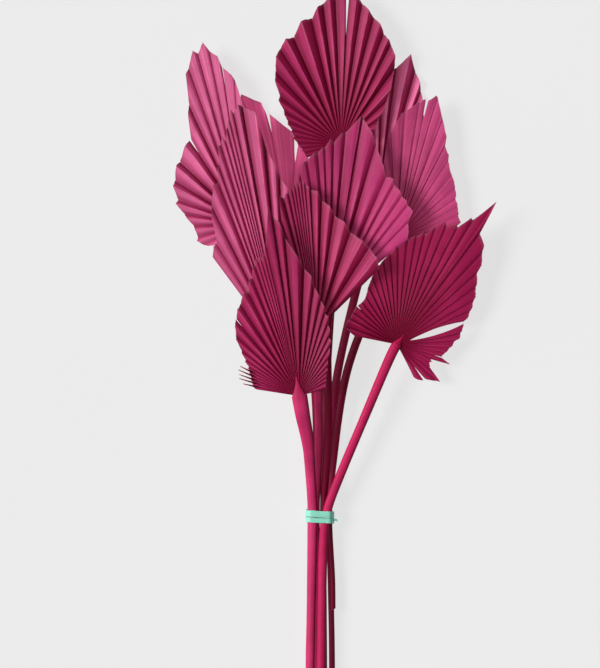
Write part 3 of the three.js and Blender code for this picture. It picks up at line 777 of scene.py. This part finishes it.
def dye_patches_group():
    """Where the dye took more or less, and small flecks in it."""
    group, given, out = new_group("dye_patches",
                                  [("Vector", "NodeSocketVector"), ("Scale", "NodeSocketFloat")],
                                  [("Patch", "NodeSocketFloat"), ("Fleck", "NodeSocketFloat")])
    patch = add_node(group, "ShaderNodeTexNoise",
                     {"Vector": given["Vector"], "Scale": given["Scale"], "Detail": 3.0, "Roughness": 0.55})
    fleck_scale = sum_node(group, "MULTIPLY", given["Scale"], 14.0)
    fleck = add_node(group, "ShaderNodeTexNoise",
                     {"Vector": given["Vector"], "Scale": fleck_scale, "Detail": 2.0, "Roughness": 0.6})
    group.links.new(ramp(group, patch.outputs["Fac"], 0.32, 0.68), out["Patch"])
    group.links.new(ramp(group, fleck.outputs["Fac"], 0.64, 0.74), out["Fleck"])
    return group


def shade(colour, factor):
    return (*[clamp(part * factor) for part in colour], 1.0)


def deeper(colour, factor):
    """A darker and redder colour for painted shade, as where light goes from face to face in a fold."""
    red, green, blue = colour
    return (red * factor, green * factor * 0.15, blue * factor * 0.5, 1.0)


def paler(colour, share):
    return (*[lerp(part, 1.0, share) for part in colour], 1.0)


def principled(material, colour, roughness, normal, specular):
    tree = material.node_tree
    shader = add_node(tree, "ShaderNodeBsdfPrincipled", {
        "Base Color": colour, "Roughness": roughness, "Normal": normal, "Specular IOR Level": specular})
    add_node(tree, "ShaderNodeOutputMaterial", {"Surface": shader.outputs[0]})
    return shader


def new_material(name):
    material = bpy.data.materials.new(name)
    material.use_nodes = True
    material.node_tree.nodes.clear()
    return material, material.node_tree


def fibre_and_patches(tree, groups, strands, patch_scale):
    """The two effects that the materials share, placed in a material with its own values."""
    fibre = add_node(tree, "ShaderNodeGroup", node_tree=groups["fibre"])
    tree.links.new(own_value(tree, "across"), fibre.inputs["Across"])
    tree.links.new(own_value(tree, "along"), fibre.inputs["Along"])
    fibre.inputs["Strands"].default_value = strands
    patches = add_node(tree, "ShaderNodeGroup", node_tree=groups["patches"])
    place = add_node(tree, "ShaderNodeTexCoord").outputs["Object"]
    tree.links.new(place, patches.inputs["Vector"])
    patches.inputs["Scale"].default_value = patch_scale
    return fibre.outputs, patches.outputs


def bump(tree, height, strength, distance):
    return add_node(tree, "ShaderNodeBump",
                    {"Height": height, "Strength": strength, "Distance": distance}).outputs[0]


def blade_material(dye, colour, valley_shade, right_shade, groups):
    material, tree = new_material("dyed_blade_" + dye)
    fibre, patches = fibre_and_patches(tree, groups, 7.0, 26.0)
    across = own_value(tree, "across")
    fold = sum_node(tree, "PINGPONG", across, 1.0)
    made = mix_colour(tree, patches["Patch"], shade(colour, 0.85), shade(colour, 1.15))
    made = mix_colour(tree, sum_node(tree, "MULTIPLY", fibre["Strand"], 0.75), made, shade(colour, 0.58))
    # Painted shade on the right side of each steep pleat, the side turned from the light.
    steep = own_value(tree, "steep")
    painted_right_side_shade = sum_node(tree, "GREATER_THAN", sum_node(tree, "MODULO", across, 2.0), 1.0)
    painted_right_side_shade = sum_node(tree, "MULTIPLY", painted_right_side_shade, steep)
    made = mix_colour(tree, sum_node(tree, "MULTIPLY", painted_right_side_shade, right_shade), made, deeper(colour, 0.58))
    # Painted shade in the valleys between steep pleats.
    valley = sum_node(tree, "MULTIPLY", ramp(tree, fold, 0.7, 0.08, 0.0, valley_shade), steep)
    made = mix_colour(tree, valley, made, deeper(colour, 0.25))
    # Painted shade across the fan, from the leaf's depths.
    made = mix_colour(tree, own_value(tree, "depth"), made, deeper(colour, 0.3))
    # Painted shade near the stalk's head, where the pleats close up.
    painted_base_shade = sum_node(tree, "MULTIPLY", ramp(tree, own_value(tree, "reach"), 0.7, 0.0), 0.85)
    made = mix_colour(tree, painted_base_shade, made, deeper(colour, 0.32))
    wear = ramp(tree, patches["Patch"], 0.2, 1.0, 0.0, 0.3)
    wear = sum_node(tree, "MULTIPLY", wear, ramp(tree, own_value(tree, "reach"), 0.2, 0.6))
    worn = sum_node(tree, "MULTIPLY", ramp(tree, fold, 0.88, 1.0), wear)
    made = mix_colour(tree, worn, made, paler(colour, 0.2))
    made = mix_colour(tree, sum_node(tree, "MULTIPLY", patches["Fleck"], 0.3), made, shade(colour, 0.5))
    edge = sum_node(tree, "MULTIPLY", ramp(tree, own_value(tree, "reach"), 0.965, 1.0), 0.3)
    made = mix_colour(tree, edge, made, (0.30, 0.10, 0.14, 1.0))
    roughness = ramp(tree, fibre["Strand"], 0.0, 1.0, 0.42, 0.56)
    roughness = sum_node(tree, "ADD", roughness, ramp(tree, own_value(tree, "reach"), 0.35, 0.0, 0.0, 0.4))
    normal = bump(tree, fibre["Height"], 0.35, 0.0004)
    principled(material, made, roughness, normal, 0.1)
    return material


def stalk_material(dye, colour, groups):
    material, tree = new_material("dyed_stalk_" + dye)
    red, green, blue = colour
    colour = (red * 0.93, green * 0.8, blue * 0.78)
    fibre, patches = fibre_and_patches(tree, groups, 2.2, 40.0)
    made = mix_colour(tree, patches["Patch"], shade(colour, 1.1), shade(colour, 1.4))
    made = mix_colour(tree, sum_node(tree, "MULTIPLY", fibre["Strand"], 0.4), made, shade(colour, 0.8))
    made = mix_colour(tree, sum_node(tree, "MULTIPLY", patches["Fleck"], 0.4), made, shade(colour, 0.45))
    # Painted shade on the whole stalk, from the leaf's depths.
    made = mix_colour(tree, own_value(tree, "depth"), made, deeper(colour, 0.3))
    # Painted shade on the stalk's right side, turned from the light.
    top, nearly_right = STALK_SIDES * 0.25, STALK_SIDES * 0.4
    painted_right_side_shade = ramp(tree, own_value(tree, "across"), top, nearly_right, 0.0, 0.85)
    made = mix_colour(tree, painted_right_side_shade, made, deeper(colour, 0.45))
    # Painted shade where the stalk runs under its blade.
    painted_shade_under_blade = sum_node(tree, "MULTIPLY", own_value(tree, "reach"), 0.45)
    made = mix_colour(tree, painted_shade_under_blade, made, deeper(colour, 0.6))
    roughness = ramp(tree, fibre["Strand"], 0.0, 1.0, 0.45, 0.58)
    normal = bump(tree, fibre["Height"], 0.3, 0.0004)
    principled(material, made, roughness, normal, 0.1)
    return material


def cut_material(dye, colour, groups):
    """The trimmed edges of the blades and the cut ends of the stalks, where the dye is thin."""
    material, tree = new_material("cut_fibre_" + dye)
    fibre, patches = fibre_and_patches(tree, groups, 4.0, 300.0)
    straw = (0.42, 0.24, 0.17, 1.0)
    made = mix_colour(tree, ramp(tree, patches["Patch"], 0.0, 1.0, 0.2, 0.5), shade(colour, 0.8), straw)
    made = mix_colour(tree, sum_node(tree, "MULTIPLY", patches["Fleck"], 0.6), made, shade(colour, 0.3))
    normal = bump(tree, patches["Patch"], 0.4, 0.0004)
    principled(material, made, ramp(tree, fibre["Strand"], 0.0, 1.0, 0.65, 0.8), normal, 0.3)
    return material


def rubber_material(groups):
    """Mint elastic with fine ribs along the band and a little dust."""
    material, tree = new_material("mint_rubber")
    colour = (0.26, 0.71, 0.55)
    fibre, patches = fibre_and_patches(tree, groups, 3.0, 120.0)
    made = mix_colour(tree, patches["Patch"], shade(colour, 0.88), shade(colour, 1.08))
    made = mix_colour(tree, sum_node(tree, "MULTIPLY", fibre["Strand"], 0.35), made, shade(colour, 0.66))
    made = mix_colour(tree, sum_node(tree, "MULTIPLY", patches["Fleck"], 0.3), made, paler(colour, 0.4))
    roughness = ramp(tree, patches["Patch"], 0.0, 1.0, 0.5, 0.62)
    principled(material, made, roughness, bump(tree, fibre["Height"], 0.5, 0.0005), 0.4)
    return material


def floor_material():
    """Pale matt paper that is lit from under it as well, so that shadows on it stay faint."""
    material, tree = new_material("pale_floor")
    place = add_node(tree, "ShaderNodeTexCoord").outputs["Object"]
    cloud = add_node(tree, "ShaderNodeTexNoise", {"Vector": place, "Scale": 2.0, "Detail": 2.0})
    cloud = cloud.outputs["Fac"]
    tone = ramp(tree, cloud, 0.2, 0.8, 0.175, 0.185)
    colour = add_node(tree, "ShaderNodeCombineColor", {"Red": tone, "Green": tone, "Blue": tone}).outputs[0]
    shader = principled(material, colour, 0.9, bump(tree, cloud, 0.05, 0.001), 0.1)
    shader.inputs["Emission Color"].default_value = (1.0, 1.0, 1.0, 1.0)
    shader.inputs["Emission Strength"].default_value = FLOOR_GLOW
    return material


# The stage

def floor():
    bm = bmesh.new()
    bmesh.ops.create_grid(bm, x_segments=8, y_segments=8, size=FLOOR_REACH)
    mesh = bpy.data.meshes.new("floor")
    bm.to_mesh(mesh)
    bm.free()
    mesh.materials.append(floor_material())
    made = bpy.data.objects.new("floor", mesh)
    bpy.context.scene.collection.objects.link(made)


def sun(name, energy, travel, casts_shadow):
    """A wide soft light that travels one way over the whole floor."""
    light = bpy.data.lights.new(name, "SUN")
    light.energy = energy
    light.angle = math.radians(LIGHT_SPREAD)
    light.use_shadow = casts_shadow
    made = bpy.data.objects.new(name, light)
    made.rotation_euler = Vector(travel).to_track_quat("-Z", "Y").to_euler()
    bpy.context.scene.collection.objects.link(made)


def lights():
    """Soft light from the left, part of which casts no shadow, and weak light from above and all round."""
    sun("key", KEY_ENERGY, SIDE_TRAVEL, True)
    sun("side_fill", SIDE_ENERGY, SIDE_TRAVEL, False)
    sun("top_fill", TOP_ENERGY, TOP_TRAVEL, False)
    world = bpy.data.worlds.new("soft_room")
    world.use_nodes = True
    world.node_tree.nodes["Background"].inputs["Color"].default_value = (1.0, 1.0, 1.0, 1.0)
    world.node_tree.nodes["Background"].inputs["Strength"].default_value = ROOM_STRENGTH
    bpy.context.scene.world = world


def camera():
    lens = bpy.data.cameras.new("camera")
    lens.sensor_width = SENSOR
    lens.lens = SENSOR * CAMERA_DISTANCE / VIEW_HEIGHT
    lens.clip_end = CLIP_END
    made = bpy.data.objects.new("camera", lens)
    made.location = PLACE @ Vector((*VIEW_CENTRE, VIEW_LEVEL + CAMERA_DISTANCE))
    bpy.context.scene.collection.objects.link(made)
    bpy.context.scene.camera = made


bpy.context.scene.view_settings.view_transform = "Standard"
camera()
lights()
floor()

groups = {"fibre": dry_fibre_group(), "patches": dye_patches_group()}
finishes = {dye: [blade_material(dye, colour, *shades, groups), stalk_material(dye, colour, groups),
                  cut_material(dye, colour, groups)] for dye, (colour, *shades) in DYES_AND_PAINTED_SHADES.items()}
for leaf_name, leaf in LEAVES.items():
    palm_leaf(leaf_name, leaf, finishes[leaf["dye"]])
tie(rubber_material(groups))
